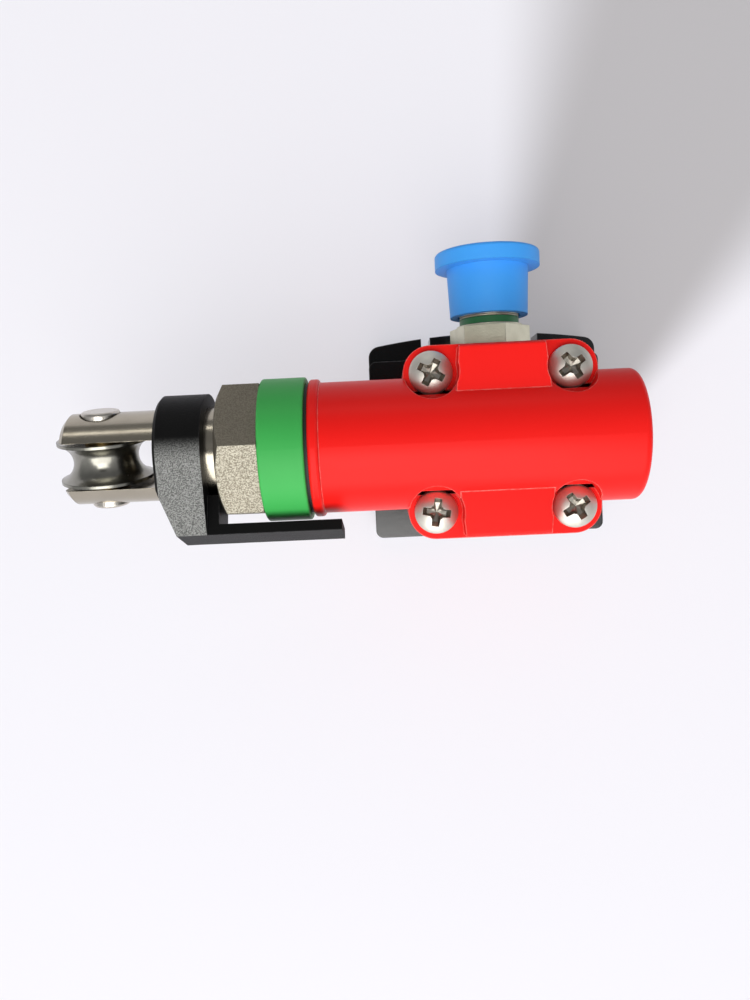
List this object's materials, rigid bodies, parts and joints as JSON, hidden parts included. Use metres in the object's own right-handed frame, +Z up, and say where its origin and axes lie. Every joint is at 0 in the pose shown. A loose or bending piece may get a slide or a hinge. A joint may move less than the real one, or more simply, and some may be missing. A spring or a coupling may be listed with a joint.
{
  "type": "rope pull switch",
  "caption": "Rope pull safety switch: red cast tube body on a black base, sprung pull rod with rope pulley and tension pointer, side plug connector under a push-on cap.",
  "frame": {"origin": "on the underside of the base, below the middle of the four cover screws", "axes": "+X along the tube towards its closed end, pull rod leaves along -X; +Y towards the connector; +Z up"},
  "size_m": [0.1105, 0.0578, 0.0453],
  "materials": {
    "red_paint": "smooth gloss powder coat",
    "blasted_nickel": "bead-blasted nickel",
    "green_plastic": "satin moulded",
    "black_rubber": "matt rubber",
    "plated_steel": "zinc plated",
    "polished_steel": "polished",
    "pin_steel": "turned",
    "brass": "turned brass",
    "black_nylon": "fine spark grain",
    "spring_steel": "drawn wire",
    "white_plastic": "moulded",
    "black_gloss": "gloss moulded",
    "connector_nickel": "nickel plated",
    "green_rubber": "moulded rubber",
    "carrier_black": "moulded",
    "blue_soft": "soft satin",
    "screw_steel": "zinc plated"
  },
  "bodies": {
    "housing": {"base_gasket": "black_rubber", "base_insert_1": "brass", "base_insert_2": "brass", "base_insert_3": "brass", "base_insert_4": "brass", "connector_carrier": "carrier_black", "connector_pin_1": "brass", "connector_pin_2": "brass", "connector_pin_3": "brass", "connector_pin_4": "brass", "connector_seal": "green_rubber", "connector_shell": "connector_nickel", "contact_block": "white_plastic", "cover_screw_1": "screw_steel", "cover_screw_2": "screw_steel", "cover_screw_3": "screw_steel", "cover_screw_4": "screw_steel", "fixed_contact_1": "brass", "fixed_contact_2": "brass", "hex_gland": "blasted_nickel", "housing_casting": "red_paint", "indicator_ring": "green_plastic", "mount_insert_1": "brass", "mount_insert_2": "brass", "mouth_seal_ring": "black_rubber", "plunger_seal": "black_rubber", "plunger_spring": "spring_steel", "return_spring": "spring_steel", "rod_wiper": "black_rubber", "spring_washer": "plated_steel", "switch_base": "black_gloss"},
    "carriage": {"spring_seat": "plated_steel", "cam_sleeve": "plated_steel"},
    "rod": {"pull_rod": "polished_steel", "pulley_pin": "pin_steel", "tension_pointer": "black_nylon", "rod_end_clip": "spring_steel"},
    "pulley": {"rope_pulley": "polished_steel", "pulley_bush": "brass"},
    "plunger": {"contact_plunger": "white_plastic", "contact_bridge": "brass"},
    "cap": {"dust_cap": "blue_soft"}
  },
  "joints": [
    {"name": "rod_slide", "type": "slide", "parent": "housing", "child": "carriage", "axis": [-1, 0, 0], "range_m": [0, 0.016], "stiffness_N_per_m": 1500, "springref_m": -0.02, "deforming": ["return_spring"]},
    {"name": "rod_swivel", "type": "hinge", "parent": "carriage", "child": "rod", "pos_m": [-0.04, 0, 0.0315], "axis": [1, 0, 0], "continuous": true},
    {"name": "pulley_spin", "type": "hinge", "parent": "rod", "child": "pulley", "pos_m": [-0.0761, 0, 0.0315], "axis": [0, 0.9763, 0.2164], "continuous": true},
    {"name": "plunger_slide", "type": "slide", "parent": "housing", "child": "plunger", "axis": [0, 0, -1], "range_m": [0, 0.0032], "deforming": ["plunger_spring"]},
    {"name": "cap_pull", "type": "slide", "parent": "housing", "child": "cap", "axis": [0, 1, 0], "range_m": [0, 0.014]}
  ],
  "couplings": [
    {"joint": "plunger_slide", "follows": "rod_slide", "ratio": 0.2}
  ]
}
